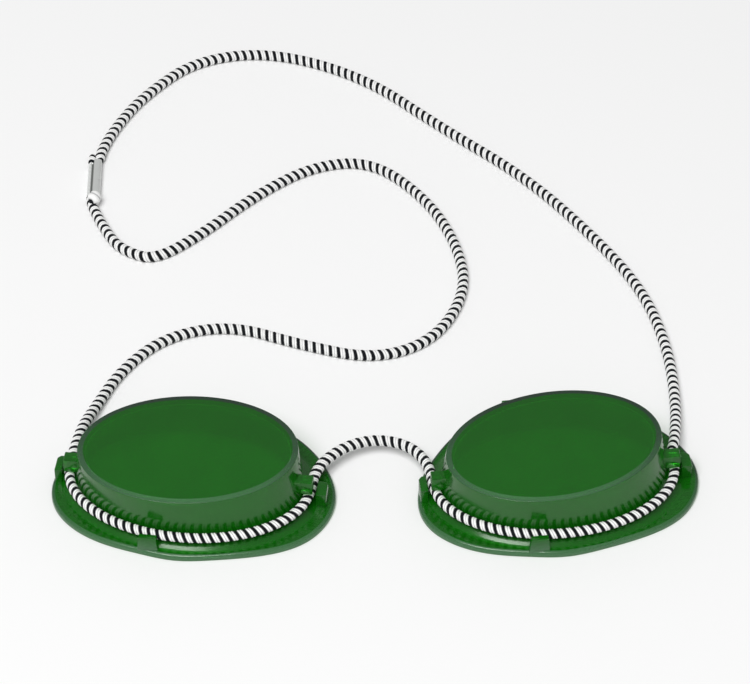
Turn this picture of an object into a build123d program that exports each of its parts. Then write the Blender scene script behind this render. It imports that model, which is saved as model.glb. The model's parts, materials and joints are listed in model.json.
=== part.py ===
from build123d import *
from math import cos, pi, radians, sin, tan
import os

# Tanning goggles lying flat with the eye side down: two clear moulded eye cups threaded
# on one elastic cord, whose ends meet in a crimped metal sleeve behind the cups.
# Millimetres. X runs to the right, Y to the back, Z up. The origin is on the table under
# the middle of the pair of cups.

# Pair of cups
nose_gap = 15.9
lens_stagger = 1.1
cup_turn = 7.4

# Lens, a flat oval whose long axis is skewed against the line of the two cord guides
lens_length = 45.2
lens_width = 30.2
lens_skew = 7.5
lens_top = 12.8
lens_thickness = 1.5
lens_bevel = 0.4

# Wall, which flares from the lens down to its foot on the flange
wall_flare = 1.2
wall_side_flare = 0.25
foot_shift = 0.2
wall = 1.5

# Flange round the eye, which slopes down from the wall to a flat rim with a rounded edge
flange_end_reach = 5.7
flange_side_reach = 5.9
flange_edge_top = 1.4
flange_foot_top = 2.9
flange_round = 0.8
crown_margin = 2.8
crown_shift = 0.4
hollow_margin = 2.4
hollow_rise = 2.3
flange_outline_shares = [
    (-0.476, 0.000),
    (-0.432, -0.245),
    (-0.282, -0.386),
    (-0.131, -0.437),
    (0.000, -0.459),
    (0.130, -0.434),
    (0.277, -0.384),
    (0.445, -0.255),
    (0.515, 0.000),
    (0.443, 0.252),
    (0.308, 0.425),
    (0.154, 0.515),
    (0.000, 0.537),
    (-0.152, 0.508),
    (-0.291, 0.403),
    (-0.402, 0.229),
]

# Elastic cord and its channel round the front of the wall
cord_diameter = 2.3
cord_wall_gap = 0.17
cord_floor_gap = 0.1
channel_steps = 9
guide_exit = 1.2

# Cord guide: a lug on the wall reaches over the cord, and a post on the flange stands beside it
lug_depth = 2.6
lug_back = -0.4
lug_thickness = 3.25
lug_clearance = 0.25
lug_short = 0.45
post_clearance = 0.12
post_thickness = 2.2
post_depth = 4.0
post_back = 1.6
post_drop = 3.9
post_round = 0.5
post_margin = 0.3

# Small tabs that stand on the flange in front and behind
tab_base = 4.5
tab_top = 3.6
tab_height = 3.6
tab_thickness = 1.2
tab_place = -5.6
tab_front_margin = 0.9
tab_back_margin = 1.6

# Crimped sleeve on the two ends of the cord, lying on the table
crimp_length = 11.6
crimp_width = 3.0
crimp_height = 2.2
crimp_wall = 0.4
crimp_round = 0.85
crimp_seam = 0.5
crimp_seam_depth = 0.25
crimp_seam_place = -0.4
crimp_place = (-63.05, 85.9)
crimp_turn = 0.6
squeeze_gap = 0.03
tail_gap = 0.04
upper_tail_radius = 1.1
upper_tail_place = 1.2
upper_tail_lift = 1.55
upper_tail_reach = 1.8
neck_radius = 0.22
neck_place = 0.85
neck_end_radius = 0.5
neck_end_place = 1.15
neck_end_lift = 0.95
neck_reach = 1.2
lower_tail_radius = 0.65
lower_tail_place = -1.0
lower_tail_reach = 1.7
lower_tail_round = 0.4

# Routes of the free stretches of the cord. Each starts and ends straight, for the length
# of its lead, where a guide or the sleeve holds it. The points between are chosen by hand.
table_level = 1.18
left_lead = 8.5
right_lead = 1.6
bridge_lead = 4.6
left_lead_end = 2.5
right_lead_end = 3.0
route_share = 0.45
bridge_points = [
    (-6.6, 6.4, 4.2),
    (0.4, 8.9, 3.8),
    (7.1, 6.6, 4.2),
]
left_strap_points = [
    (-59.1, 20.2, 1.5),
    (-54.1, 31.7, 1.18),
    (-45.1, 41.7, 1.18),
    (-31.1, 45.2, 1.18),
    (-16.1, 39.2, 1.18),
    (-0.1, 34.7, 1.18),
    (12.9, 40.7, 1.18),
    (19.9, 55.7, 1.18),
    (17.9, 70.7, 1.18),
    (11.4, 85.2, 1.18),
    (-0.6, 97.7, 1.18),
    (-14.1, 96.2, 1.18),
    (-27.1, 86.2, 1.18),
    (-38.3, 73.9, 1.18),
    (-48.4, 65.5, 1.18),
    (-54.6, 68.0, 1.18),
    (-58.3, 71.7, 1.18),
]
right_strap_points = [
    (62.3, 8.6, 3.75),
    (63.4, 21.0, 1.7),
    (62.6, 38.6, 1.18),
    (57.9, 56.7, 1.18),
    (47.4, 74.2, 1.18),
    (33.4, 92.7, 1.18),
    (14.9, 109.2, 1.18),
    (-2.6, 126.7, 1.18),
    (-24.1, 135.7, 1.18),
    (-41.7, 132.6, 1.18),
    (-52.9, 120.5, 1.18),
    (-58.6, 110.6, 1.18),
]

# Sizes, levels and places that follow from those above
foot_length = lens_length + 2 * wall_flare
foot_width = lens_width + 2 * wall_side_flare
flange_length = foot_length + 2 * flange_end_reach
flange_width = foot_width + 2 * flange_side_reach
flange_front = flange_width * min(y for x, y in flange_outline_shares)
flange_back = flange_width * max(y for x, y in flange_outline_shares)
lens_spacing = flange_length + nose_gap
cord_radius = cord_diameter / 2
cord_level = flange_foot_top + cord_floor_gap + cord_radius
cord_offset = cord_radius + cord_wall_gap
channel_x_radius = foot_length / 2 + cord_offset
channel_y_radius = foot_width / 2 + cord_offset
left_guide = foot_shift - channel_x_radius
right_guide = foot_shift + channel_x_radius
lens_edge_level = lens_top - lens_bevel
lens_underside = lens_top - lens_thickness
lug_level = cord_level + cord_radius + lug_clearance
post_top = lug_level + lug_thickness - post_drop
post_root = flange_edge_top / 2
tab_root = flange_edge_top / 2


def flange_outline(inset):
    """The points of the flange's outline, or of one that runs inside it."""
    length = flange_length - 2 * inset
    width = flange_width - 2 * inset
    return [(x * length, y * width) for x, y in flange_outline_shares]


def turned_plane(x, y, turn):
    """The table's plane at a point, with its X axis turned about the vertical."""
    heading = Vector(1, 0, 0).rotate(Axis.Z, turn)
    return Plane(origin=(x, y, 0), x_dir=heading, z_dir=(0, 0, 1))


def footprint_box(x, y, turn):
    """The box round one flange outline lying on the table."""
    with BuildSketch(turned_plane(x, y, turn)) as footprint:
        with BuildLine():
            Spline(*flange_outline(0), periodic=True)
        make_face()
    return footprint.sketch.bounding_box()


# The pair is centred on the origin by its own outline.
left_box = footprint_box(-lens_spacing / 2, -lens_stagger / 2, -cup_turn)
right_box = footprint_box(lens_spacing / 2, lens_stagger / 2, cup_turn)
pair_x = (left_box.min.X + right_box.max.X) / 2
pair_y = (min(left_box.min.Y, right_box.min.Y) + max(left_box.max.Y, right_box.max.Y)) / 2
cup_planes = {
    "left": turned_plane(-lens_spacing / 2 - pair_x, -lens_stagger / 2 - pair_y, -cup_turn),
    "right": turned_plane(lens_spacing / 2 - pair_x, lens_stagger / 2 - pair_y, cup_turn),
}


def foot_oval(inset):
    """The oval where the wall meets the flange, or one inside or outside it."""
    with Locations((foot_shift, 0)):
        Ellipse(foot_length / 2 - inset, foot_width / 2 - inset)


def lens_oval(inset):
    """The skewed oval of the lens."""
    Ellipse(lens_length / 2 - inset, lens_width / 2 - inset, rotation=lens_skew)


def crown_oval():
    """The outer foot of the slope between the flat rim and the wall."""
    with Locations((foot_shift + crown_shift, 0)):
        Ellipse(foot_length / 2 + crown_margin, foot_width / 2 + crown_margin)


def eye_cup(plane, name):
    """One moulded cup: lens, flared wall, sloping flange, two cord guides and two tabs."""
    with BuildPart() as cup:
        # Flat rim, with its upper edge rounded
        with BuildSketch(plane):
            with BuildLine():
                Spline(*flange_outline(0), periodic=True)
            make_face()
        extrude(amount=flange_edge_top)
        fillet(cup.faces().sort_by(Axis.Z)[-1].edges(), flange_round)
        # Slope that rises from the rim to the foot of the wall
        with BuildSketch(plane.offset(flange_edge_top)):
            crown_oval()
        with BuildSketch(plane.offset(flange_foot_top)):
            foot_oval(0)
        loft()
        # Flared wall, then the bevelled edge of the flat lens
        with BuildSketch(plane.offset(flange_foot_top)):
            foot_oval(0)
        with BuildSketch(plane.offset(lens_edge_level)):
            lens_oval(0)
        loft()
        with BuildSketch(plane.offset(lens_edge_level)):
            lens_oval(0)
        with BuildSketch(plane.offset(lens_top)):
            lens_oval(lens_bevel)
        loft()
        # Cord guides: a lug on the wall over the cord, and a post on the flange beside it
        for cord_x, out in ((left_guide, -1), (right_guide, 1)):
            lug_end = cord_x + out * (cord_radius - lug_short)
            lug_root = out * (lens_length / 2 - wall)
            with BuildSketch(plane.offset(lug_level)):
                with Locations(((lug_end + lug_root) / 2, lug_back - lug_depth / 2)):
                    Rectangle(abs(lug_end - lug_root), lug_depth)
            extrude(amount=lug_thickness)
            post_x = cord_x + out * (cord_radius + post_clearance + post_thickness / 2)
            with BuildSketch(plane.offset(post_root)):
                with BuildLine():
                    Spline(*flange_outline(post_margin), periodic=True)
                make_face()
                with Locations((post_x, post_back - post_depth / 2)):
                    Rectangle(post_thickness, post_depth, mode=Mode.INTERSECT)
            extrude(amount=post_top - post_root)
        post_tops = cup.edges().filter_by_position(Axis.Z, post_top, post_top)
        post_tops = post_tops.sort_by(Axis(plane.origin, plane.x_dir))
        fillet([post_tops[0], post_tops[-1]], post_round)
        # Tabs in front and behind, on the flange
        tab_faces = (
            (1, flange_front + tab_front_margin),
            (-1, flange_back - tab_back_margin),
        )
        for inward, tab_face in tab_faces:
            tab_plane = Plane(
                origin=plane.from_local_coords((tab_place, tab_face, tab_root)),
                x_dir=plane.x_dir,
                z_dir=plane.y_dir * inward,
            )
            tab_rise = -inward * (flange_edge_top - tab_root + tab_height)
            with BuildSketch(tab_plane):
                with BuildLine():
                    Polyline(
                        (-tab_base / 2, 0),
                        (tab_base / 2, 0),
                        (tab_top / 2, tab_rise),
                        (-tab_top / 2, tab_rise),
                        close=True,
                    )
                make_face()
            extrude(amount=tab_thickness)
        # Hollow for the eye, which opens out under the slope
        with BuildSketch(plane):
            foot_oval(-hollow_margin)
        with BuildSketch(plane.offset(hollow_rise)):
            foot_oval(wall)
        loft(mode=Mode.SUBTRACT)
        with BuildSketch(plane.offset(hollow_rise)):
            foot_oval(wall)
        with BuildSketch(plane.offset(lens_underside)):
            lens_oval(wall)
        loft(mode=Mode.SUBTRACT)
    cup.part.label = name
    export_step(cup.part, "parts/" + name + ".step")


def run_ends(points):
    """The lengths of a route's straight runs, and the turn at each point between them."""
    places = [Vector(*point) for point in points]
    runs = [there - here for here, there in zip(places, places[1:])]
    turns = [before.get_angle(after) for before, after in zip(runs, runs[1:])]
    return [run.length for run in runs], turns


def cord_tube(points, name):
    """A round cord along straight runs joined by the largest arcs that the runs allow."""
    lengths, turns = run_ends(points)
    radii = [
        route_share * min(before, after) / tan(radians(turn) / 2)
        for before, after, turn in zip(lengths, lengths[1:], turns)
    ]
    with BuildPart() as cord:
        with BuildLine() as route:
            FilletPolyline(*points, radius=radii)
        with BuildSketch(Plane(origin=route.line @ 0, z_dir=route.line % 0)):
            Circle(cord_radius)
        sweep()
    length = route.wires()[0].length
    plain = pi * cord_radius**2 * length
    print(name, "length", round(length, 1), "tightest arc", round(min(radii), 1))
    print(name, "longest run", round(max(lengths), 1), "volume ratio", round(cord.part.volume / plain, 4))
    cord.part.label = name
    export_step(cord.part, "parts/" + name + ".step")


def in_cup(side, x, y):
    """A point of one cup's plan, at the level of its cord."""
    return tuple(cup_planes[side].from_local_coords((x, y, cord_level)))


def channel_points(side):
    """The cord's way round the front of the wall, from the left guide to the right one."""
    step = pi / channel_steps
    flat = [
        (
            foot_shift + channel_x_radius * cos(pi + (k + 0.5) * step) / cos(step / 2),
            channel_y_radius * sin(pi + (k + 0.5) * step) / cos(step / 2),
        )
        for k in range(channel_steps)
    ]
    flat = [(left_guide, guide_exit), *flat, (right_guide, guide_exit)]
    return [in_cup(side, x, y) for x, y in flat]


os.makedirs("parts", exist_ok=True)

for side, plane in cup_planes.items():
    eye_cup(plane, side + "_eye_cup")
    cord_tube(channel_points(side), side + "_channel_cord")

# The crimped sleeve lies along its axis. Its plane stands across the axis at the far end,
# with X to the right and Y up, and faces the cups.
crimp_axis = Vector(0, 1, 0).rotate(Axis.Z, crimp_turn)
crimp_plane = Plane(
    origin=Vector(*crimp_place, crimp_height / 2) + crimp_axis * crimp_length,
    x_dir=Vector(1, 0, 0).rotate(Axis.Z, crimp_turn),
    z_dir=-crimp_axis,
)
near_plane = crimp_plane.offset(crimp_length)
bore_width = crimp_width - 2 * crimp_wall
bore_height = crimp_height - 2 * crimp_wall
bore_round = crimp_round - crimp_wall
squeezed_width = bore_width / 2 - squeeze_gap
squeezed_height = bore_height - 2 * squeeze_gap
squeeze_round = bore_round - squeeze_gap
lower_port = neck_place - neck_radius - tail_gap - cord_radius
upper_port = lower_tail_place + lower_tail_radius + tail_gap + cord_radius

with BuildPart() as crimp_sleeve:
    with BuildSketch(crimp_plane):
        RectangleRounded(crimp_width, crimp_height, crimp_round)
        RectangleRounded(bore_width, bore_height, bore_round, mode=Mode.SUBTRACT)
        with BuildLine():
            Polyline(
                (crimp_seam_place - crimp_seam / 2, crimp_height / 2),
                (crimp_seam_place, crimp_height / 2 - crimp_seam_depth),
                (crimp_seam_place + crimp_seam / 2, crimp_height / 2),
                close=True,
            )
        make_face(mode=Mode.SUBTRACT)
    extrude(amount=crimp_length)
crimp_sleeve.part.label = "crimp_sleeve"
export_step(crimp_sleeve.part, "parts/crimp_sleeve.step")

# The two ends of the cord, squeezed side by side in the sleeve. Each comes out at its far
# end, one as a nub and one as a ball that leans on the strap.
with BuildPart() as lower_cord_tail:
    with BuildSketch(crimp_plane):
        with Locations((-bore_width / 4, 0)):
            RectangleRounded(squeezed_width, squeezed_height, squeeze_round)
    extrude(amount=crimp_length)
    with BuildSketch(crimp_plane):
        with Locations((lower_tail_place, 0)):
            Circle(lower_tail_radius)
    extrude(amount=-lower_tail_reach)
    fillet(lower_cord_tail.edges().group_by(Axis.Y)[-1], lower_tail_round)
lower_cord_tail.part.label = "lower_cord_tail"
export_step(lower_cord_tail.part, "parts/lower_cord_tail.step")

with BuildPart() as upper_cord_tail:
    with BuildSketch(crimp_plane):
        with Locations((bore_width / 4, 0)):
            RectangleRounded(squeezed_width, squeezed_height, squeeze_round)
    extrude(amount=crimp_length)
    with BuildSketch(near_plane):
        with Locations((neck_place, 0)):
            Circle(neck_radius)
    with BuildSketch(near_plane.offset(neck_reach)):
        with Locations((neck_end_place, neck_end_lift)):
            Circle(neck_end_radius)
    loft()
    with Locations(near_plane.offset(upper_tail_reach)):
        with Locations((upper_tail_place, upper_tail_lift)):
            Sphere(upper_tail_radius)
upper_cord_tail.part.label = "upper_cord_tail"
export_step(upper_cord_tail.part, "parts/upper_cord_tail.step")


def port(plane, x, lead):
    """The centre of a cord at one end of the sleeve, a lead's length out along its axis."""
    place = plane.from_local_coords((x, table_level - crimp_height / 2, lead))
    return tuple(place)


left_exit = guide_exit + left_lead
right_exit = guide_exit + right_lead
bridge_exit = guide_exit + bridge_lead
cord_tube(
    [
        in_cup("left", right_guide, guide_exit),
        in_cup("left", right_guide, bridge_exit),
        *bridge_points,
        in_cup("right", left_guide, bridge_exit),
        in_cup("right", left_guide, guide_exit),
    ],
    "bridge_cord",
)
cord_tube(
    [
        in_cup("left", left_guide, guide_exit),
        in_cup("left", left_guide, left_exit),
        *left_strap_points,
        port(near_plane, lower_port, left_lead_end),
        port(near_plane, lower_port, 0),
    ],
    "left_strap_cord",
)
cord_tube(
    [
        in_cup("right", right_guide, guide_exit),
        in_cup("right", right_guide, right_exit),
        *right_strap_points,
        port(crimp_plane, upper_port, -right_lead_end),
        port(crimp_plane, upper_port, 0),
    ],
    "right_strap_cord",
)
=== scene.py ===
import json
from itertools import accumulate
from math import cos, pi, radians, sin, sqrt, tau

import bmesh
import bpy
from bpy.props import FloatProperty, FloatVectorProperty, IntProperty, PointerProperty
from mathutils import Matrix, Vector
from mathutils.bvhtree import BVHTree


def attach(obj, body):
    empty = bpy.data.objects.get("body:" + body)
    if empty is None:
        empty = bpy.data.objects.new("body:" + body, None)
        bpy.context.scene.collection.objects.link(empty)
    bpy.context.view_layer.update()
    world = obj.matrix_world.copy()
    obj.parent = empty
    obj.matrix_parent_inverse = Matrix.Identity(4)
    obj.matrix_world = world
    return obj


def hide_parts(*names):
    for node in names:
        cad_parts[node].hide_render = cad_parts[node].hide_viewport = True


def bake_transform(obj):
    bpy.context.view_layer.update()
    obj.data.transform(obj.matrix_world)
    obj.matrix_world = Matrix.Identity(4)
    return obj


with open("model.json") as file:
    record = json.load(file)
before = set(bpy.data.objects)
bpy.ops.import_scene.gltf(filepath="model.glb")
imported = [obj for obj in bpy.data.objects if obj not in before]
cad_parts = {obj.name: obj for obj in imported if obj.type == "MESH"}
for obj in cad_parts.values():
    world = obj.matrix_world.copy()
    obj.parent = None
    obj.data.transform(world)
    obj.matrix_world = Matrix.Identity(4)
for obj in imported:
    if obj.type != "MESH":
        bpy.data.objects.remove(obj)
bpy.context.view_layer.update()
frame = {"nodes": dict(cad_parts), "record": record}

bl_info = {
    "name": "Tanning goggles",
    "version": (1, 0, 0),
    "blender": (4, 5, 0),
    "location": "View3D > Sidebar > Goggles",
    "description": "Clear green eye cups on an elastic cord, with a crimped sleeve",
    "category": "Object",
}

# Where each eye cup lies: its lens centre is the frame's own, and it is turned about the vertical
mounts = {mount["name"]: mount for mount in frame["record"]["mounts"]}
cup_turn = radians(7.4)
cup_turns = {"left": -cup_turn, "right": cup_turn}

# Cord guides of a cup: where the cord's centre passes them, its level, and its way between them
# round the front of the wall
guide_shift = 0.0002
guide_reach = 0.02512
guide_exit = 0.0012
cord_level = 0.00415
channel_depth = 0.01667
channel_steps = 9

# Crown round a cup's slope: how far it is shifted to the right of the foot
crown_shift = 0.0004

# Hollow under the flange: how far it reaches past the foot, and its height over the table
hollow_margin = 0.0024
hollow_rise = 0.0023

# Size of the small ring that closes each side of the lens, as a share of the lens
centre_share = 0.02

# Level at which the flange's outline is found on the frame's solid, and how far out the search starts
outline_level = 0.0003
outline_start = 0.06

# Level inside the flange at which posts and tabs start
fitting_root = 0.0008

# Guide: a lug on the wall reaches over the cord, and a post on the flange stands beside it
lug_front = -0.0030
lug_back = -0.0004
lug_bottom = 0.00555
lug_top = 0.0088
lug_short = 0.00045
lug_root = 0.001
lug_round = 0.0002
post_clearance = 0.00012
post_front = -0.0024
post_top = 0.0051
post_round = 0.0003
post_chamfer = 0.0007
left_post_thickness = 0.0016
left_post_back = 0.0019
right_post_thickness = 0.0022
right_post_back = 0.0016

# Tabs on the flange, one in front of the wall and one behind, each drawn inwards from its outer face
tab_left = -0.00785
tab_right = -0.00335
tab_top = 0.0050
tab_thickness = 0.0012
tab_front_face = -0.0186
tab_back_face = 0.0212
tab_round = 0.00015
tab_narrowing = 0.8

# Crimped sleeve: its near end, its turn about the vertical and its outer size
crimp_place = Vector((-0.06305, 0.0859, 0.0011))
crimp_turn = radians(0.6)
crimp_length = 0.0116
crimp_width = 0.003
crimp_height = 0.0022

# Sleeve's form: square corners, a strip left of the seam that lies lower and ends aslant, a row of
# beads on that strip and a nick on the right
corner_power = 0.55
slant_width = 0.0009
slant_depth = 0.0019
strip_drop = 0.0002
strip_steepness = 6
seam_reach = 0.0002
bead_place = -0.00105
bead_reach = 0.00022
bead_height = 0.00012
nick_across = 0.0013
nick_along = 0.0052
nick_width = 0.0003
nick_length = 0.00025
nick_depth = 0.0004
sleeve_sides = 240
sleeve_steps = 90

# Sleeve's mouth, from inside it to its outer skin: shares of the way along and of the wall's depth
sleeve_mouth = (
    (0.08, 1.0),
    (0.008, 1.0),
    (0.002, 0.85),
    (0.0, 0.5),
    (0.002, 0.12),
    (0.008, 0.0),
)

# Cord ends that stand out of the sleeve: points beside its axis, and the radius.
# The ball's points are taken from the sleeve's near end and the nub's from its far end.
ball_points = [
    (0.0005, 0.0006, 0.0011),
    (0.0005, -0.0003, 0.0014),
    (0.0003, -0.0013, 0.0024),
    (0.0003, -0.0035, 0.0024),
]
ball_radius = 0.00152
nub_points = [
    (-0.0006, -0.0022, 0.0011),
    (-0.0008, 0.0, 0.0013),
    (-0.0006, 0.0022, 0.0015),
]
nub_radius = 0.00095

# Where the yarn's jog lies round the cord, as a share of the way round, how far it moves round
# along each half of the strap, and its depth in turns
front_jog = 0.625
left_strap_twist = -0.375
right_strap_jog = 0.22
right_strap_twist = 0.33
tail_jog = 0.1
channel_slant = 0.5
tail_slant = 0.3

# Places along each half of the strap and of the bridge, between strap and cup, for a bend that the
# operators take in but do not use
left_strap_bend = ((0.0140, 0.0444, 0), (-0.0011, -0.0035, 0))
right_strap_bend = ((0.0, 0.036, 0), (0.0, 0.0035, 0))
bridge_bend = 0.0095

# Routes of the cord, between the ends that the guides and the sleeve hold
table_level = 0.00118
left_lead = 0.0085
right_lead = 0.0016
bridge_lead = 0.0046
left_lead_end = 0.0025
right_lead_end = 0.003
lower_port = -0.00056
upper_port = 0.00084
bridge_points = [
    (-0.0066, 0.0064, 0.0042),
    (0.0004, 0.0089, 0.0038),
    (0.0071, 0.0066, 0.0042),
]
left_strap_points = [
    (-0.0591, 0.0202, 0.0015),
    (-0.0541, 0.0317, 0.00118),
    (-0.0451, 0.0417, 0.00118),
    (-0.0311, 0.0452, 0.00118),
    (-0.0161, 0.0392, 0.00118),
    (-0.0001, 0.0347, 0.00118),
    (0.0129, 0.0407, 0.00118),
    (0.0199, 0.0557, 0.00118),
    (0.0179, 0.0707, 0.00118),
    (0.0114, 0.0852, 0.00118),
    (-0.0006, 0.0977, 0.00118),
    (-0.0141, 0.0962, 0.00118),
    (-0.0271, 0.0862, 0.00118),
    (-0.0383, 0.0739, 0.00118),
    (-0.0484, 0.0655, 0.00118),
    (-0.0546, 0.0680, 0.00118),
    (-0.0583, 0.0717, 0.00118),
]
right_strap_points = [
    (0.0623, 0.0086, 0.00375),
    (0.0634, 0.0210, 0.0017),
    (0.0626, 0.0386, 0.00118),
    (0.0579, 0.0567, 0.00118),
    (0.0474, 0.0742, 0.00118),
    (0.0334, 0.0927, 0.00118),
    (0.0149, 0.1092, 0.00118),
    (-0.0026, 0.1267, 0.00118),
    (-0.0241, 0.1357, 0.00118),
    (-0.0417, 0.1326, 0.00118),
    (-0.0529, 0.1205, 0.00118),
    (-0.0586, 0.1106, 0.00118),
]


class EyeCupSettings(bpy.types.PropertyGroup):
    """Sizes and plastic of the eye cups."""

    lens_length: FloatProperty(
        name="Lens length",
        description="Long axis of the flat lens",
        default=0.0452,
        unit="LENGTH",
    )
    lens_width: FloatProperty(
        name="Lens width",
        description="Short axis of the flat lens",
        default=0.0302,
        unit="LENGTH",
    )
    lens_skew: FloatProperty(
        name="Lens skew",
        description="Turn of the lens against the line of the guides",
        default=radians(7.5),
        subtype="ANGLE",
    )
    lens_top: FloatProperty(
        name="Lens top",
        description="Height of the lens over the table",
        default=0.0128,
        unit="LENGTH",
    )
    lens_thickness: FloatProperty(
        name="Lens thickness",
        description="Thickness of the lens",
        default=0.0015,
        unit="LENGTH",
    )
    bevel_width: FloatProperty(
        name="Bevel width",
        description="Width of the bevel round the lens",
        default=0.0012,
        unit="LENGTH",
    )
    bevel_drop: FloatProperty(
        name="Bevel drop",
        description="How far the bevel falls to the wall",
        default=0.0002,
        unit="LENGTH",
    )
    wall: FloatProperty(
        name="Wall",
        description="Thickness of the wall",
        default=0.0015,
        unit="LENGTH",
    )
    end_flare: FloatProperty(
        name="Flare at the ends",
        description="How much longer the wall's foot is than the lens at each end",
        default=0.0012,
        unit="LENGTH",
    )
    side_flare: FloatProperty(
        name="Flare at the sides",
        description="How much wider the wall's foot is than the lens at each side",
        default=0.00025,
        unit="LENGTH",
    )
    foot_shift: FloatProperty(
        name="Foot shift",
        description="How far the wall's foot stands to the right of the lens",
        default=0.0002,
        unit="LENGTH",
    )
    rim_top: FloatProperty(
        name="Rim top",
        description="Height of the flat rim",
        default=0.0014,
        unit="LENGTH",
    )
    foot_top: FloatProperty(
        name="Foot of the wall",
        description="Height at which the slope meets the wall",
        default=0.0029,
        unit="LENGTH",
    )
    slope_width: FloatProperty(
        name="Slope width",
        description="Width of the slope between the rim and the wall",
        default=0.0028,
        unit="LENGTH",
    )
    rim_round: FloatProperty(
        name="Rim rounding",
        description="How far the rim's upper edge is rounded",
        default=0.0008,
        unit="LENGTH",
    )
    steps: IntProperty(
        name="Steps",
        description="Points round a cup",
        default=192,
        min=48,
        max=384,
    )
    plastic: FloatVectorProperty(
        name="Plastic",
        description="Colour of the plastic",
        default=(0.012, 0.235, 0.008),
        subtype="COLOR",
    )
    # Painted highlight: the lighter colour that the lens's bevel and the rim's edge show in front
    painted_edge_highlight: FloatVectorProperty(
        name="Edge in front",
        description="Colour that the lens's bevel and the rim's edge catch in front",
        default=(0.13, 0.33, 0.155),
        subtype="COLOR",
    )
    # Painted shade: the darker colour of those edges at the ends and behind
    painted_edge_shade: FloatVectorProperty(
        name="Edge behind",
        description="Colour of those edges at the ends and behind",
        default=(0.035, 0.075, 0.050),
        subtype="COLOR",
    )
    clearness: FloatProperty(
        name="Clearness",
        description="Share of the light that goes through the plastic",
        default=0.65,
        min=0.5,
        max=1.0,
    )


class CordSettings(bpy.types.PropertyGroup):
    """Size and yarn of the elastic cord."""

    diameter: FloatProperty(
        name="Diameter",
        description="Thickness of the cord",
        default=0.0023,
        unit="LENGTH",
    )
    pitch: FloatProperty(
        name="Pitch",
        description="Length of one turn of the yarn",
        default=0.0018,
        unit="LENGTH",
    )
    relief: FloatProperty(
        name="Relief",
        description="Depth of the creases between yarns",
        default=0.0002,
        unit="LENGTH",
    )
    black_share: FloatProperty(
        name="Black share",
        description="Share of a turn that is black",
        default=0.42,
        min=0.05,
        max=0.9,
    )
    sides: IntProperty(
        name="Sides",
        description="Points round the cord",
        default=24,
        min=12,
        max=48,
    )
    rings: IntProperty(
        name="Rings",
        description="Rings in one turn of the yarn",
        default=14,
        min=8,
        max=32,
    )
    white: FloatVectorProperty(
        name="White",
        description="White yarn",
        default=(0.97, 0.97, 0.96),
        subtype="COLOR",
    )
    # Painted shade in the creases between white yarns
    crease_shade: FloatVectorProperty(
        name="Crease",
        description="The creases between white yarns",
        default=(0.20, 0.21, 0.22),
        subtype="COLOR",
    )
    black: FloatVectorProperty(
        name="Black",
        description="Black yarn",
        default=(0.003, 0.004, 0.005),
        subtype="COLOR",
    )


class SleeveSettings(bpy.types.PropertyGroup):
    """Size and metal of the crimped sleeve."""

    wall: FloatProperty(
        name="Wall",
        description="Thickness of the metal",
        default=0.0004,
        unit="LENGTH",
    )
    seam_place: FloatProperty(
        name="Seam",
        description="How far the seam lies to the right of the middle",
        default=-0.00045,
        unit="LENGTH",
    )
    seam_depth: FloatProperty(
        name="Seam depth",
        description="Depth of the seam",
        default=0.00038,
        unit="LENGTH",
    )
    bead_gap: FloatProperty(
        name="Bead gap",
        description="Distance between the beads that the crimping tool leaves",
        default=0.0012,
        unit="LENGTH",
    )
    # Painted shade inside the seam
    seam: FloatVectorProperty(
        name="Seam's colour",
        description="The dark inside of the seam",
        default=(0.20, 0.21, 0.20),
        subtype="COLOR",
    )
    metal: FloatVectorProperty(
        name="Metal",
        description="Colour of the metal",
        default=(0.86, 0.88, 0.86),
        subtype="COLOR",
    )


class StageSettings(bpy.types.PropertyGroup):
    """Camera, lamp and table."""

    focus: FloatVectorProperty(
        name="Focus",
        description="Point on the table at the middle of the view",
        default=(-0.0001, 0.0412, 0.0),
        subtype="XYZ",
        unit="LENGTH",
    )
    distance: FloatProperty(
        name="Distance",
        description="From the camera to the focus",
        default=0.79,
        unit="LENGTH",
    )
    elevation: FloatProperty(
        name="Elevation",
        description="How far the camera looks down",
        default=radians(45),
        subtype="ANGLE",
    )
    lens: FloatProperty(
        name="Lens",
        description="Focal length in millimetres",
        default=176.3,
    )
    table: FloatVectorProperty(
        name="Table",
        description="Colour of the table",
        default=(0.93, 0.93, 0.93),
        subtype="COLOR",
    )
    sky: FloatProperty(
        name="Sky",
        description="Light from all round",
        default=0.38,
        min=0.0,
    )
    lamp: FloatProperty(
        name="Lamp",
        description="Power of the large lamp in watts",
        default=26.0,
        min=0.0,
    )
    lamp_size: FloatProperty(
        name="Lamp size",
        description="Width of the large lamp",
        default=1.0,
        unit="LENGTH",
    )
    lamp_place: FloatVectorProperty(
        name="Lamp place",
        description="Where the large lamp hangs",
        default=(-0.35, -0.8, 1.6),
        subtype="XYZ",
        unit="LENGTH",
    )


def link(name, mesh):
    """An object with this mesh, in the scene."""
    piece = bpy.data.objects.new(name, mesh)
    bpy.context.scene.collection.objects.link(piece)
    return piece


def finished(bm, name, material, smooth_angle=radians(40)):
    """A piece from a finished bmesh, smooth but for its sharp edges."""
    mesh = bpy.data.meshes.new(name)
    bm.to_mesh(mesh)
    bm.free()
    mesh.materials.append(material)
    mesh.shade_smooth()
    mesh.set_sharp_from_angle(angle=smooth_angle)
    return link(name, mesh)


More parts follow.
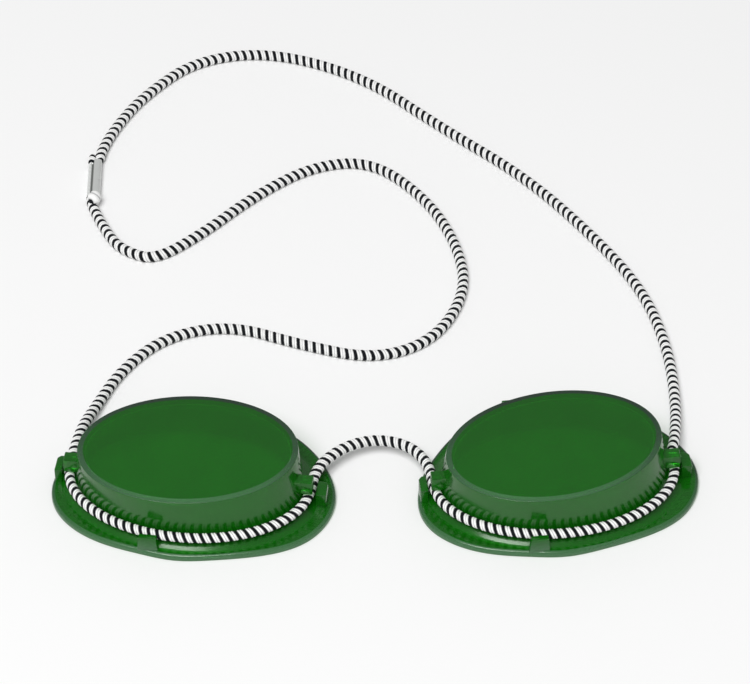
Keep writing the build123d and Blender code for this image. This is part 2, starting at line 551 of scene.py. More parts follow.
def ring_skin(rings):
    """A closed skin through rings of points, each ring drawn out of the one before."""
    bm = bmesh.new()
    place = bm.verts.layers.int.new("place")
    bmesh.ops.create_circle(bm, segments=len(rings[0]), radius=1)
    bm.verts.ensure_lookup_table()
    for number, vertex in enumerate(bm.verts):
        vertex[place] = number
        vertex.co = rings[0][number]
    first = edges = bm.edges[:]
    for ring in rings[1:]:
        drawn = bmesh.ops.extrude_edge_only(bm, edges=edges)["geom"]
        fresh = {item for item in drawn if isinstance(item, bmesh.types.BMVert)}
        for vertex in fresh:
            vertex.co = ring[vertex[place]]
        touching = {edge for vertex in fresh for edge in vertex.link_edges}
        edges = [edge for edge in touching if fresh.issuperset(edge.verts)]
    bmesh.ops.contextual_create(bm, geom=first)
    bmesh.ops.contextual_create(bm, geom=edges)
    bmesh.ops.recalc_face_normals(bm, faces=bm.faces[:])
    return bm


# Materials


class Nodes:
    """A material's node tree, with short calls for its nodes."""

    def __init__(self, name):
        self.material = bpy.data.materials.new(name)
        self.material.use_nodes = True
        self.tree = self.material.node_tree
        self.tree.nodes.clear()
        self.output = self.tree.nodes.new("ShaderNodeOutputMaterial")

    def add(self, kind, settings=(), **inputs):
        """A node of a kind, with its settings and its inputs, each a value or another node's output."""
        node = self.tree.nodes.new("ShaderNode" + kind)
        for name, value in dict(settings).items():
            setattr(node, name, value)
        for name, value in inputs.items():
            self.put(node.inputs[name.replace("_", " ")], value)
        return node

    def put(self, socket, value):
        """Sets or links one input."""
        if isinstance(value, bpy.types.NodeSocket):
            self.tree.links.new(value, socket)
        else:
            socket.default_value = value

    def math(self, operation, *values):
        """The result of one sum on one to three values."""
        node = self.tree.nodes.new("ShaderNodeMath")
        node.operation = operation
        for socket, value in zip(node.inputs, values):
            self.put(socket, value)
        return node.outputs[0]

    def blend(self, share, first, second):
        """A colour between two, by share."""
        node = self.add("Mix", {"data_type": "RGBA"})
        share_socket, first_colour, second_colour, mixed_colour = 0, 6, 7, 2
        for number, value in ((share_socket, share), (first_colour, first), (second_colour, second)):
            self.put(node.inputs[number], value)
        return node.outputs[mixed_colour]

    def scale(self, share, low, high):
        """A value from low to high, as share goes from 0 to 1."""
        return self.add("MapRange", Value=share, To_Min=low, To_Max=high).outputs[0]


def clear_plastic(settings):
    """Deep green moulded plastic that lets some light through, with faint rub marks and greyer edges: a
    painted highlight on the lens's bevel and the rim's edge in front, and painted shade on them at the ends
    and behind.
    """
    nodes = Nodes("clear_green_plastic")
    place = nodes.add("TexCoord").outputs["Object"]
    marks = nodes.add("TexNoise", Vector=place, Scale=900.0, Detail=3.0).outputs[0]
    waves = nodes.add("TexNoise", Vector=place, Scale=140.0, Detail=1.0).outputs[0]
    bump = nodes.add("Bump", Strength=0.03, Distance=0.0002, Height=waves).outputs[0]
    deep = [0.85 * part for part in settings.plastic]
    colour = nodes.blend(waves, (*deep, 1), (*settings.plastic, 1))
    # The edges' colour is painted light: a highlight in front that turns to painted shade towards the back
    _, depth, _ = nodes.add("SeparateXYZ", Vector=place).outputs
    front_limit, back_limit = -0.016, 0.010
    behind = nodes.add("MapRange", Value=depth, From_Min=front_limit, From_Max=back_limit).outputs[0]
    painted_edge_light = nodes.blend(behind, (*settings.painted_edge_highlight, 1), (*settings.painted_edge_shade, 1))
    edge = nodes.add("Attribute", {"attribute_name": "edge"}).outputs["Fac"]
    plastic = nodes.add(
        "BsdfPrincipled",
        Base_Color=nodes.blend(edge, colour, painted_edge_light),
        Roughness=nodes.scale(marks, 0.12, 0.18),
        IOR=1.49,
        Normal=bump,
    )
    plastic.inputs["Transmission Weight"].default_value = settings.clearness
    plastic.inputs["Specular IOR Level"].default_value = 0.3
    tint = [sqrt(settings.clearness * part) for part in settings.plastic]
    through = nodes.add("BsdfTransparent", Color=(*tint, 1))
    shadow = nodes.add("LightPath").outputs["Is Shadow Ray"]
    surface = nodes.add("MixShader")
    nodes.put(surface.inputs[0], shadow)
    nodes.put(surface.inputs[1], plastic.outputs[0])
    nodes.put(surface.inputs[2], through.outputs[0])
    nodes.put(nodes.output.inputs["Surface"], surface.outputs[0])
    return nodes.material


def wrapped_yarn(settings):
    """White yarn with a black one, on a cord's own map: turns of the yarn, and the way round."""
    nodes = Nodes("wrapped_yarn")
    chart = nodes.add("UVMap", {"uv_map": "cord"}).outputs[0]
    along, around, _ = nodes.add("SeparateXYZ", Vector=chart).outputs
    turn = nodes.math("FRACT", along)
    place = nodes.add("TexCoord").outputs["Object"]
    fuzz = nodes.add("TexNoise", Vector=place, Scale=2600.0, Detail=4.0).outputs[0]
    raggedness, softness = 0.05, 0.02
    ragged = nodes.math("ADD", turn, nodes.scale(fuzz, -raggedness, raggedness))
    half = settings.black_share / 2
    edge = nodes.math("ABSOLUTE", nodes.math("SUBTRACT", ragged, half))
    white = nodes.add("MapRange", Value=edge, From_Min=half - softness, From_Max=half + softness).outputs[0]
    white_yarn_share = (1 - settings.black_share) / 2
    past_black = nodes.math("SUBTRACT", turn, settings.black_share)
    rib = nodes.math("FRACT", nodes.math("DIVIDE", past_black, white_yarn_share))
    off_middle = nodes.math("SUBTRACT", nodes.math("MULTIPLY", rib, 2.0), 1.0)
    narrowness = 4.0
    # Painted shade in the creases between white yarns: grey towards each rib's edges
    crease_shade = nodes.math("POWER", nodes.math("ABSOLUTE", off_middle), narrowness)
    fibres_along, fibres_around = 3.0, 5.0
    lay = nodes.add(
        "CombineXYZ",
        X=nodes.math("MULTIPLY", along, fibres_along),
        Y=nodes.math("MULTIPLY", around, fibres_around),
    ).outputs[0]
    fibre = nodes.add("TexWave", Vector=lay, Scale=0.9, Distortion=2.0, Detail=2.0).outputs[1]
    unshaded = nodes.math("MULTIPLY", nodes.scale(crease_shade, 1.0, 0.25), nodes.scale(fibre, 0.93, 1.0))
    pale = nodes.blend(unshaded, (*settings.crease_shade, 1), (*settings.white, 1))
    worn_black = (0.010, 0.012, 0.015)
    dark = nodes.blend(fibre, (*settings.black, 1), (*worn_black, 1))
    height = nodes.math("ADD", fibre, nodes.math("MULTIPLY", fuzz, 0.6))
    bump = nodes.add("Bump", Strength=0.4, Distance=0.00006, Height=height).outputs[0]
    yarn = nodes.add(
        "BsdfPrincipled",
        Base_Color=nodes.blend(white, dark, pale),
        Roughness=nodes.scale(fuzz, 0.7, 0.95),
        Normal=bump,
    )
    yarn.inputs["Specular IOR Level"].default_value = 0.12
    nodes.put(nodes.output.inputs["Surface"], yarn.outputs[0])
    return nodes.material


def yarn():
    """The cord's material, made once."""
    return bpy.data.materials.get("wrapped_yarn") or wrapped_yarn(bpy.context.scene.goggles_cord)


def crimped_metal(settings):
    """Plain grey metal with the crimping tool's drag marks, painted shade along the seam on the sleeve's
    top, and a paler strip beside it.
    """
    nodes = Nodes("crimped_metal")
    place = nodes.add("TexCoord").outputs["Object"]
    streaks = nodes.add("Mapping", Vector=place, Scale=(6000, 900, 6000)).outputs[0]
    drag = nodes.add("TexNoise", Vector=streaks, Scale=1.0, Detail=3.0).outputs[0]
    dull = nodes.add("TexNoise", Vector=place, Scale=900.0, Detail=3.0).outputs[0]
    beside = nodes.add("Mapping", {"vector_type": "TEXTURE"}, Vector=place, Location=crimp_place)
    beside.inputs["Rotation"].default_value = (0, 0, crimp_turn)
    across, _, height = nodes.add("SeparateXYZ", Vector=beside.outputs[0]).outputs
    # Painted shade along the seam, only on the sleeve's top
    off_seam = nodes.math("SUBTRACT", across, settings.seam_place)
    change = 0.0001
    right = nodes.add("MapRange", Value=off_seam, From_Min=-change, From_Max=change).outputs[0]
    away = nodes.math("ABSOLUTE", off_seam)
    dark_reach, unshaded_reach = 0.00012, 0.00034
    unshaded = nodes.add("MapRange", Value=away, From_Min=dark_reach, From_Max=unshaded_reach).outputs[0]
    dark_level, unshaded_level = 0.0002, 0.0001
    below = nodes.add("MapRange", Value=height, From_Min=dark_level, From_Max=unshaded_level).outputs[0]
    unshaded = nodes.math("MAXIMUM", unshaded, below)
    # Metal right of the seam is dimmer, and dim patches lie at random
    dimmer_metal = [0.8 * part for part in settings.metal]
    strips = nodes.blend(right, (*settings.metal, 1), (*dimmer_metal, 1))
    strips = nodes.blend(nodes.scale(dull, 0.0, 0.35), strips, (*dimmer_metal, 1))
    bump = nodes.add("Bump", Strength=0.3, Distance=0.00004, Height=drag).outputs[0]
    metal = nodes.add(
        "BsdfPrincipled",
        Base_Color=nodes.blend(unshaded, (*settings.seam, 1), strips),
        Metallic=0.5,
        Roughness=nodes.scale(drag, 0.38, 0.6),
        Normal=bump,
    )
    nodes.put(nodes.output.inputs["Surface"], metal.outputs[0])
    return nodes.material


# Cord


def cup_matrix(side):
    """The place of one cup, from its own axes to the frame's, at table level."""
    x, y, _ = mounts[side + "_lens_face"]["pos_m"]
    return Matrix.Translation((x, y, 0)) @ Matrix.Rotation(cup_turns[side], 4, "Z")


def in_cup(side, x, y):
    """A point of one cup's plan, at the level of its cord."""
    return tuple(cup_matrix(side) @ Vector((x, y, cord_level)))


def at_sleeve(x, y, z=table_level):
    """A point beside the sleeve's axis, x to the right and y beyond its near end, at a level."""
    place = crimp_place + Matrix.Rotation(crimp_turn, 3, "Z") @ Vector((x, y, 0))
    return (place.x, place.y, z)


def channel_route(side):
    """The cord's way round the front of the wall, from the left guide to the right one."""
    step = pi / channel_steps
    reach = 1 / cos(step / 2)
    turns = [pi + (number + 1 / 2) * step for number in range(channel_steps)]
    half_length, half_width = guide_reach * reach, channel_depth * reach
    front = [(guide_shift + half_length * cos(turn), half_width * sin(turn)) for turn in turns]
    left, right = guide_shift - guide_reach, guide_shift + guide_reach
    return [in_cup(side, x, y) for x, y in ((left, guide_exit), *front, (right, guide_exit))]


def strap_routes():
    """The routes of the left and right half of the strap, each from its guide to the sleeve."""
    left, right = guide_shift - guide_reach, guide_shift + guide_reach
    return (
        [
            in_cup("left", left, guide_exit),
            in_cup("left", left, guide_exit + left_lead),
            *left_strap_points,
            at_sleeve(lower_port, -left_lead_end),
            at_sleeve(lower_port, 0),
        ],
        [
            in_cup("right", right, guide_exit),
            in_cup("right", right, guide_exit + right_lead),
            *right_strap_points,
            at_sleeve(upper_port, crimp_length + right_lead_end),
            at_sleeve(upper_port, crimp_length),
        ],
    )


def bridge_route():
    """The route over the nose, from the left cup's inner guide to the right cup's."""
    left, right = guide_shift - guide_reach, guide_shift + guide_reach
    lead = guide_exit + bridge_lead
    return [
        in_cup("left", right, guide_exit),
        in_cup("left", right, lead),
        *bridge_points,
        in_cup("right", left, lead),
        in_cup("right", left, guide_exit),
    ]


def smooth_path(route):
    """Points read along the smooth curve that has a route's points as its control points."""
    curve = bpy.data.curves.new("route", "CURVE")
    curve.dimensions = "3D"
    curve.resolution_u = 64
    line = curve.splines.new("NURBS")
    line.points.add(len(route) - 1)
    for knot, place in zip(line.points, route):
        knot.co = (*place, 1)
    line.order_u = 3
    line.use_endpoint_u = True
    holder = bpy.data.objects.new("route", curve)
    mesh = bpy.data.meshes.new_from_object(holder)
    path = [vertex.co.copy() for vertex in mesh.vertices]
    bpy.data.objects.remove(holder)
    bpy.data.curves.remove(curve)
    bpy.data.meshes.remove(mesh)
    return path


def even_steps(path, count):
    """The path's length, and count + 1 points evenly spaced along it."""
    gaps = [(there - here).length for here, there in zip(path, path[1:])]
    reach = [0, *accumulate(gaps)]
    places, number = [], 0
    for step in range(count + 1):
        goal = reach[-1] * step / count
        while number < len(gaps) - 1 and reach[number + 1] < goal:
            number += 1
        places.append(path[number].lerp(path[number + 1], (goal - reach[number]) / gaps[number]))
    return reach[-1], places


def yarn_turns(along, around, jog, slant):
    """Turns of yarn at a place on the cord. The yarn runs askew, back and forth about one line."""
    way = abs((around + jog) % 1 - 0.5) * 2
    return along + slant * way * way * (3 - 2 * way)


def yarn_radius(turns, settings):
    """The cord's radius where so many turns of its yarn have gone by."""
    turn = turns % 1
    if turn < settings.black_share:
        share = turn / settings.black_share
    else:
        share = (turn - settings.black_share) / ((1 - settings.black_share) / 2) % 1
    return settings.diameter / 2 - settings.relief * (1 - sin(pi * share)) ** 2


def cord_piece(name, path, jog, twist=0.0, slant=0.45, turns_done=0.0, wound=1.0, thickness=None):
    """A cord of wrapped yarn along a path, with its own map, and its length.

    The yarn's jog lies at a share of the way round and moves by twist from end to end. Slant is its
    depth in turns, turns_done are the turns before the first end, and wound is the share of the usual
    turns. Thickness gives the cord's share of its full thickness at each share of its length.
    """
    settings = bpy.context.scene.goggles_cord
    length, _ = even_steps(path, 1)
    fewest_rings = 12
    rings = max(fewest_rings, round(length / settings.pitch * settings.rings))
    _, centres = even_steps(path, rings)
    bm = bmesh.new()
    cord_map = bm.loops.layers.uv.new("cord")
    bmesh.ops.create_grid(bm, x_segments=rings, y_segments=settings.sides, size=1, calc_uvs=True)
    ways = [(centres[min(n + 1, rings)] - centres[max(n - 1, 0)]).normalized() for n in range(rings + 1)]
    sides = [way.cross(Vector((0, 0, 1))).normalized() for way in ways]
    tops = [side.cross(way) for side, way in zip(sides, ways)]
    reach = length / settings.pitch * wound
    for vertex in bm.verts:
        ring = round((vertex.co.x + 1) / 2 * rings)
        around = round((vertex.co.y + 1) / 2 * settings.sides) % settings.sides / settings.sides
        share = ring / rings
        turns = yarn_turns(turns_done + share * reach, around, jog + twist * share, slant)
        radius = yarn_radius(turns, settings)
        if thickness:
            radius *= thickness(share)
        angle = tau * around
        vertex.co = centres[ring] + radius * (cos(angle) * sides[ring] + sin(angle) * tops[ring])
    for face in bm.faces:
        for loop in face.loops:
            share, around = loop[cord_map].uv
            turns = yarn_turns(turns_done + share * reach, around, jog + twist * share, slant)
            loop[cord_map].uv = (turns, around)
    touching = settings.diameter / 2000
    bmesh.ops.remove_doubles(bm, verts=bm.verts[:], dist=touching)
    open_edges = [edge for edge in bm.edges if edge.is_boundary]
    bmesh.ops.holes_fill(bm, edges=open_edges)
    bmesh.ops.recalc_face_normals(bm, faces=bm.faces[:])
    piece = finished(bm, name, yarn())
    return piece, length


def taut(share):
    """A cord's thickness where it is drawn thin round a wall, and full again in the guides."""
    thinning, guide_share = 0.11, 0.06
    return 1 - thinning * min(1, min(share, 1 - share) / guide_share)


# Sleeve


def sleeve_point(angle, share, depth, settings):
    """A point of the sleeve's skin, some depth inside it, at a share of the way to its far end."""
    wide, high = crimp_width / 2 - depth, crimp_height / 2 - depth
    x = wide * abs(cos(angle)) ** corner_power * (1 if cos(angle) > 0 else -1)
    z = high * abs(sin(angle)) ** corner_power * (1 if sin(angle) > 0 else -1)
    left = min(1, max(0, (settings.seam_place - x) / slant_width))
    y = share * (crimp_length - slant_depth * left)
    if z > 0 and depth < settings.wall / 2:
        z -= settings.seam_depth / (1 + ((x - settings.seam_place) / seam_reach) ** 4)
        z -= strip_drop * min(1, left * strip_steepness)
        bead = cos(tau * y / settings.bead_gap) * 0.5 + 0.5
        z += bead_height * bead**2 / (1 + ((x - bead_place) / bead_reach) ** 4)
        nick = ((x - nick_across) / nick_width) ** 2 + ((y - nick_along) / nick_length) ** 2
        z -= nick_depth / (1 + nick**2)
    return crimp_place + Matrix.Rotation(crimp_turn, 3, "Z") @ Vector((x, y, z))


def sleeve_rings(settings):
    """The rings of the sleeve's skin: out of its near mouth, along it and into its far mouth."""
    angles = [tau * number / sleeve_sides for number in range(sleeve_sides)]
    stations = list(sleeve_mouth)
    stations += [(number / sleeve_steps, 0.0) for number in range(1, sleeve_steps)]
    stations += [(1 - share, depth) for share, depth in reversed(sleeve_mouth)]
    return [
        [sleeve_point(angle, share, depth * settings.wall, settings) for angle in angles]
        for share, depth in stations
    ]


def tail(name, points, radius, turns_done, wound):
    """A cut end of the cord that stands out of the sleeve, drawn through points beside its axis."""
    path = smooth_path([at_sleeve(x, y, z) for x, y, z in points])
    swell = radius / (bpy.context.scene.goggles_cord.diameter / 2)
    squeezed, neck, least = 0.4, 0.45, 0.0025

    def thickness(share):
        """Squeezed in the sleeve, full after the neck, then rounded off over as long a way."""
        full = squeezed + (1 - squeezed) * min(1, share / neck)
        rounding = max(0, (share - (1 - neck)) / neck)
        return swell * full * sqrt(max(least, 1 - rounding**2))

    piece, _ = cord_piece(
        name,
        path,
        tail_jog,
        slant=tail_slant,
        turns_done=turns_done,
        wound=wound,
        thickness=thickness,
    )
    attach(piece, "strap")
    return piece


# Eye cup


def oval(length, width, steps, shift=0.0, turn=0.0):
    """Points round an oval of half a length and half a width, shifted along x and turned."""
    points = []
    for number in range(steps):
        angle = tau * number / steps - turn
        x, y = length * cos(angle), width * sin(angle)
        points.append(Vector((shift + x * cos(turn) - y * sin(turn), x * sin(turn) + y * cos(turn))))
    return points


def inset(points, depth):
    """A closed line of points moved inwards by a depth."""
    moved = []
    for before, here, after in zip(points[-1:] + points[:-1], points, points[1:] + points[:1]):
        along = (after - before).normalized()
        moved.append(here + depth * Vector((-along.y, along.x)))
    return moved


def between(first, second, share):
    """A closed line part of the way from one to another."""
    return [here.lerp(there, share) for here, there in zip(first, second)]


def at_level(points, level):
    """A flat ring of points at a level."""
    return [Vector((x, y, level)) for x, y in points]


def flange_line(side, towards):
    """The flange's outline in a cup's own axes, found on the frame's solid, one point for each way."""
    node = frame["nodes"][side + "_eye_cup"]
    solid = BVHTree.FromObject(node, bpy.context.evaluated_depsgraph_get())
    to_frame = cup_matrix(side)
    level = Vector((0, 0, outline_level))
    found = []
    for way in towards:
        way = Vector((*way, 0)).normalized()
        start = to_frame @ (way * outline_start + level)
        place, *_ = solid.ray_cast(start, to_frame.to_3x3() @ -way)
        found.append((to_frame.inverted() @ place).xy)
    return found


def cup_stations(side, settings):
    """The corners of one cup's profile, each a ring of points with how far it is softened."""
    steps = settings.steps
    shift = settings.foot_shift
    length = settings.lens_length / 2 + settings.end_flare
    width = settings.lens_width / 2 + settings.side_flare
    slope = settings.slope_width
    wall = settings.wall
    lens = oval(settings.lens_length / 2, settings.lens_width / 2, steps, 0, settings.lens_skew)
    foot = oval(length, width, steps, shift)
    foot_inside = oval(length - wall, width - wall, steps, shift)
    hollow = oval(length + hollow_margin, width + hollow_margin, steps, shift)
    crown = oval(length + slope, width + slope, steps, shift + crown_shift)
    rim = flange_line(side, crown)
    under = inset(lens, wall)
    flat = inset(lens, settings.bevel_width)
    ceiling = settings.lens_top - settings.lens_thickness
    return [
        (at_level([point * centre_share for point in under], ceiling), 0),
        (at_level(under, ceiling), 0.0006),
        (at_level(foot_inside, hollow_rise), 0.0008),
        (at_level(hollow, 0), 0.0002),
        (at_level(rim, 0), 0.0002),
        (at_level(rim, settings.rim_top), settings.rim_round),
        (at_level(crown, settings.rim_top), 0.0004),
        (at_level(foot, settings.foot_top), 0.0004),
        (at_level(lens, settings.lens_top - settings.bevel_drop), 0.0001),
        (at_level(flat, settings.lens_top), 0.0001),
        (at_level([point * centre_share for point in flat], settings.lens_top), 0),
    ]


def softened(stations, arc_steps=6, run=0.0015):
    """Rings through a profile's corners, with each corner rounded and each run cut into steps."""
    rings = []
    for number, (ring, soft) in enumerate(stations):
        if soft:
            before, after = stations[number - 1][0], stations[number + 1][0]
            towards = [here + soft * (there - here).normalized() for here, there in zip(ring, before)]
            onwards = [here + soft * (there - here).normalized() for here, there in zip(ring, after)]
            for step in range(arc_steps + 1):
                share = step / arc_steps
                first, last = between(towards, ring, share), between(ring, onwards, share)
                rings.append(between(first, last, share))
        else:
            rings.append(ring)
        if number + 1 < len(stations):
            there, next_soft = stations[number + 1]
            if next_soft:
                there = [here + next_soft * (back - here).normalized() for here, back in zip(there, ring)]
            gaps = [(end - start).length for start, end in zip(rings[-1], there)]
            cuts = round(max(gaps) / run)
            start = rings[-1]
            rings += [between(start, there, cut / cuts) for cut in range(1, cuts)]
    return rings


def block(bm, low, high, soft, chamfer=None, narrow=1.0):
    """Adds a block with softened edges between two corners.

    Its top may be narrower along x, and one upright edge may be chamfered: the one over a place, by
    a depth.
    """
    made = bmesh.ops.create_cube(bm, size=1)["verts"]
    low, high = Vector(low), Vector(high)
    for vertex in made:
        if vertex.co.z > 0:
            vertex.co.x *= narrow
    bmesh.ops.scale(bm, vec=high - low, verts=made)
    bmesh.ops.translate(bm, vec=(low + high) / 2, verts=made)
    if chamfer:
        corner, depth = chamfer
        touching = 1e-6
        upright = [
            edge
            for edge in {edge for vertex in made for edge in vertex.link_edges}
            if all((vertex.co.xy - Vector(corner)).length < touching for vertex in edge.verts)
        ]
        cut = bmesh.ops.bevel(
            bm,
            geom=upright,
            offset=depth,
            offset_type="OFFSET",
            segments=1,
            profile=0.5,
            affect="EDGES",
            material=-1,
        )
        made = [vertex for vertex in made if vertex.is_valid] + cut["verts"]
    edges = list({edge for vertex in made for edge in vertex.link_edges})
    bmesh.ops.bevel(
        bm,
        geom=edges,
        offset=soft,
        offset_type="OFFSET",
        segments=2,
        profile=0.5,
        affect="EDGES",
        material=-1,
    )


def fittings(settings, cord_radius):
    """The two lugs, two posts and two tabs of a cup, in its own axes."""
    bm = bmesh.new()
    lens_end = settings.lens_length / 2
    for out, thickness, back in (
        (-1, left_post_thickness, left_post_back),
        (1, right_post_thickness, right_post_back),
    ):
        cord_x = guide_shift + out * guide_reach
        left, right = sorted((cord_x + out * (cord_radius - lug_short), out * (lens_end - lug_root)))
        block(bm, (left, lug_front, lug_bottom), (right, lug_back, lug_top), lug_round)
        inner = cord_x + out * (cord_radius + post_clearance)
        outer = inner + out * thickness
        left, right = sorted((inner, outer))
        low, high = (left, post_front, fitting_root), (right, back, post_top)
        block(bm, low, high, post_round, chamfer=((outer, back), post_chamfer))
    for face, depth in ((tab_front_face, tab_thickness), (tab_back_face, -tab_thickness)):
        near, far = sorted((face, face + depth))
        low, high = (tab_left, near, fitting_root), (tab_right, far, tab_top)
        block(bm, low, high, tab_round, narrow=tab_narrowing)
    return bm


def edge_share(point, settings):
    """One on the lens's bevel and on the rim's outer edge, in a cup's own axes, and else nothing."""
    slack, rim_bottom = 0.00001, 0.0001
    bevel = settings.lens_top - settings.bevel_drop
    if bevel - slack < point.z < settings.lens_top - slack:
        return 1.0
    length = settings.lens_length / 2 + settings.end_flare + settings.slope_width
    width = settings.lens_width / 2 + settings.side_flare + settings.slope_width
    past_crown = 1.02
    outside = ((point.x - settings.foot_shift) / length) ** 2 + (point.y / width) ** 2 > past_crown
    return 1.0 if outside and rim_bottom < point.z < settings.rim_top - slack else 0.0


def eye_cup(side, material, settings, cord_radius):
    """One eye cup: its skin, with the guides and tabs joined to it."""
    body = finished(ring_skin(softened(cup_stations(side, settings))), side + "_cup", material)
    extras = finished(fittings(settings, cord_radius), side + "_fittings", material)
    join = body.modifiers.new("fittings", "BOOLEAN")
    join.operation = "UNION"
    join.solver = "EXACT"
    join.object = extras
    joined = bpy.data.meshes.new_from_object(body.evaluated_get(bpy.context.evaluated_depsgraph_get()))
    body.modifiers.clear()
    body.data = joined
    bpy.data.objects.remove(extras)
    # Marks the lens's bevel and the rim's edge, where the plastic's painted highlight and shade go
    edge = joined.attributes.new("edge", "FLOAT", "POINT")
    edge.data.foreach_set("value", [edge_share(vertex.co, settings) for vertex in joined.vertices])
    joined.transform(cup_matrix(side))
    joined.name = side + "_cup"
    joined.set_sharp_from_angle(angle=radians(30))
    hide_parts(side + "_eye_cup")
    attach(body, side + "_cup")
    return body


# Operators, for the stage and for each group of pieces


class GOGGLES_OT_stage(bpy.types.Operator):
    """Sets up the camera, the table, the lamp and the light all round"""

    bl_idname = "goggles.stage"
    bl_label = "Stage"

    def execute(self, context):
        settings = context.scene.goggles_stage
        scene = context.scene
        scene.view_settings.view_transform = "Standard"
        camera = bpy.data.objects.new("camera", bpy.data.cameras.new("camera"))
        camera.data.lens = settings.lens
        camera.data.clip_start = 0.01
        scene.collection.objects.link(camera)
        back = Vector((0, -cos(settings.elevation), sin(settings.elevation)))
        camera.location = Vector(settings.focus) + settings.distance * back
        camera.rotation_euler = (pi / 2 - settings.elevation, 0, 0)
        scene.camera = camera

        half_table = 10
        bm = bmesh.new()
        bmesh.ops.create_grid(bm, x_segments=1, y_segments=1, size=half_table)
        nodes = Nodes("pale_table")
        soft = nodes.add("BsdfDiffuse", Color=(*settings.table, 1))
        nodes.put(nodes.output.inputs["Surface"], soft.outputs[0])
        table = finished(bm, "table", nodes.material)

        world = bpy.data.worlds.new("light_all_round")
        world.use_nodes = True
        sky = world.node_tree.nodes["Background"]
        sky.inputs["Color"].default_value = (1, 1, 1, 1)
        sky.inputs["Strength"].default_value = settings.sky
        scene.world = world
        lamp = bpy.data.objects.new("lamp_in_front", bpy.data.lights.new("lamp_in_front", "AREA"))
        lamp.data.shape = "DISK"
        lamp.data.size = settings.lamp_size
        lamp.data.energy = settings.lamp
        lamp.location = settings.lamp_place
        aim = Vector(settings.focus) - lamp.location
        lamp.rotation_euler = aim.to_track_quat("-Z", "Y").to_euler()
        scene.collection.objects.link(lamp)
        return {"FINISHED"}


class GOGGLES_OT_sleeve(bpy.types.Operator):
    """Crimps the sleeve on the two ends of the cord, which stand out of it"""

    bl_idname = "goggles.sleeve"
    bl_label = "Sleeve"

    def execute(self, context):
        settings = context.scene.goggles_sleeve
        skin = ring_skin(sleeve_rings(settings))
        sleeve = finished(skin, "sleeve", crimped_metal(settings), smooth_angle=radians(50))
        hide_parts("crimp_sleeve")
        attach(sleeve, "strap")
        ball = tail("ball_end", ball_points, ball_radius, turns_done=0.2, wound=0.3)
        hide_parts("upper_cord_tail")
        beyond = [(x, crimp_length + y, z) for x, y, z in nub_points]
        nub = tail("nub_end", beyond, nub_radius, turns_done=0.2, wound=1.0)
        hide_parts("lower_cord_tail")
        return {"FINISHED"}


class GOGGLES_OT_strap(bpy.types.Operator):
    """Lays the two halves of the strap from the outer guides to the sleeve"""

    bl_idname = "goggles.strap"
    bl_label = "Strap"

    def execute(self, context):
        left, right = strap_routes()
        squeezed_reach, squeezed_depth = 0.0014, 0.28
        sleeve = [bpy.data.objects[name] for name in ("sleeve", "ball_end", "nub_end")]
        for side, route, jog, twist, start, end, far_end, beside in (
            ("left", left, front_jog, left_strap_twist, *left_strap_bend, "fitting", sleeve),
            ("right", right, right_strap_jog, right_strap_twist, *right_strap_bend, "object", []),
        ):
            path = smooth_path(route)
            length, _ = even_steps(path, 1)
            squeezed_share = squeezed_reach / length

            def thickness(share, squeezed_share=squeezed_share):
                """Full, and squeezed together where it goes into the sleeve."""
                return 1 - squeezed_depth * max(0, 1 - (1 - share) / squeezed_share) ** 2

            piece, length = cord_piece(side + "_strap", path, jog, twist, thickness=thickness)
            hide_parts(side + "_strap_cord")
            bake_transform(piece)
        return {"FINISHED"}


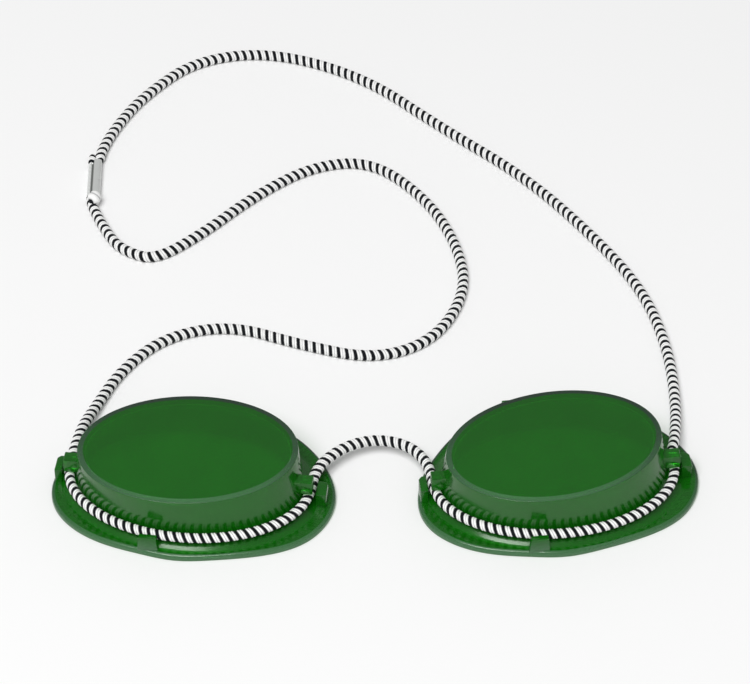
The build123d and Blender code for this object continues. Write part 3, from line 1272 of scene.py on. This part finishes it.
class GOGGLES_OT_held_cord(bpy.types.Operator):
    """Lays the cord in the cups' channels and over the nose"""

    bl_idname = "goggles.held_cord"
    bl_label = "Channels and bridge"

    def execute(self, context):
        for side in ("left", "right"):
            path = smooth_path(channel_route(side))
            piece, _ = cord_piece(side + "_channel", path, front_jog, slant=channel_slant, thickness=taut)
            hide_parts(side + "_channel_cord")
            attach(piece, side + "_cup")
        path = smooth_path(bridge_route())
        middle = 100
        _, even = even_steps(path, 2 * middle)
        turns_done = 0.0
        for side, points, end in (
            ("left", even[: middle + 1], -bridge_bend),
            ("right", even[middle:], bridge_bend),
        ):
            piece, length = cord_piece(side + "_bridge", points, front_jog, turns_done=turns_done)
            turns_done = length / context.scene.goggles_cord.pitch
            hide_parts("bridge_cord")
            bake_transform(piece)
        return {"FINISHED"}


class GOGGLES_OT_eye_cups(bpy.types.Operator):
    """Moulds the two eye cups"""

    bl_idname = "goggles.eye_cups"
    bl_label = "Eye cups"

    def execute(self, context):
        settings = context.scene.goggles_cups
        material = clear_plastic(settings)
        for side in ("left", "right"):
            eye_cup(side, material, settings, context.scene.goggles_cord.diameter / 2)
        return {"FINISHED"}


class GOGGLES_PT_panel(bpy.types.Panel):
    """The goggles' pieces in the sidebar"""

    bl_label = "Tanning goggles"
    bl_idname = "GOGGLES_PT_panel"
    bl_space_type = "VIEW_3D"
    bl_region_type = "UI"
    bl_category = "Goggles"

    def draw(self, context):
        for name in ("stage", "sleeve", "strap", "held_cord", "eye_cups"):
            self.layout.operator("goggles." + name)


classes = (
    EyeCupSettings,
    CordSettings,
    SleeveSettings,
    StageSettings,
    GOGGLES_OT_stage,
    GOGGLES_OT_sleeve,
    GOGGLES_OT_strap,
    GOGGLES_OT_held_cord,
    GOGGLES_OT_eye_cups,
    GOGGLES_PT_panel,
)


def register():
    for item in classes:
        bpy.utils.register_class(item)
    bpy.types.Scene.goggles_cups = PointerProperty(type=EyeCupSettings)
    bpy.types.Scene.goggles_cord = PointerProperty(type=CordSettings)
    bpy.types.Scene.goggles_sleeve = PointerProperty(type=SleeveSettings)
    bpy.types.Scene.goggles_stage = PointerProperty(type=StageSettings)


def unregister():
    del bpy.types.Scene.goggles_stage
    del bpy.types.Scene.goggles_sleeve
    del bpy.types.Scene.goggles_cord
    del bpy.types.Scene.goggles_cups
    for item in reversed(classes):
        bpy.utils.unregister_class(item)


def main():
    """Builds the goggles."""
    register()
    bpy.ops.goggles.stage()
    bpy.ops.goggles.sleeve()
    bpy.ops.goggles.strap()
    bpy.ops.goggles.held_cord()
    bpy.ops.goggles.eye_cups()


if __name__ == "__main__":
    main()
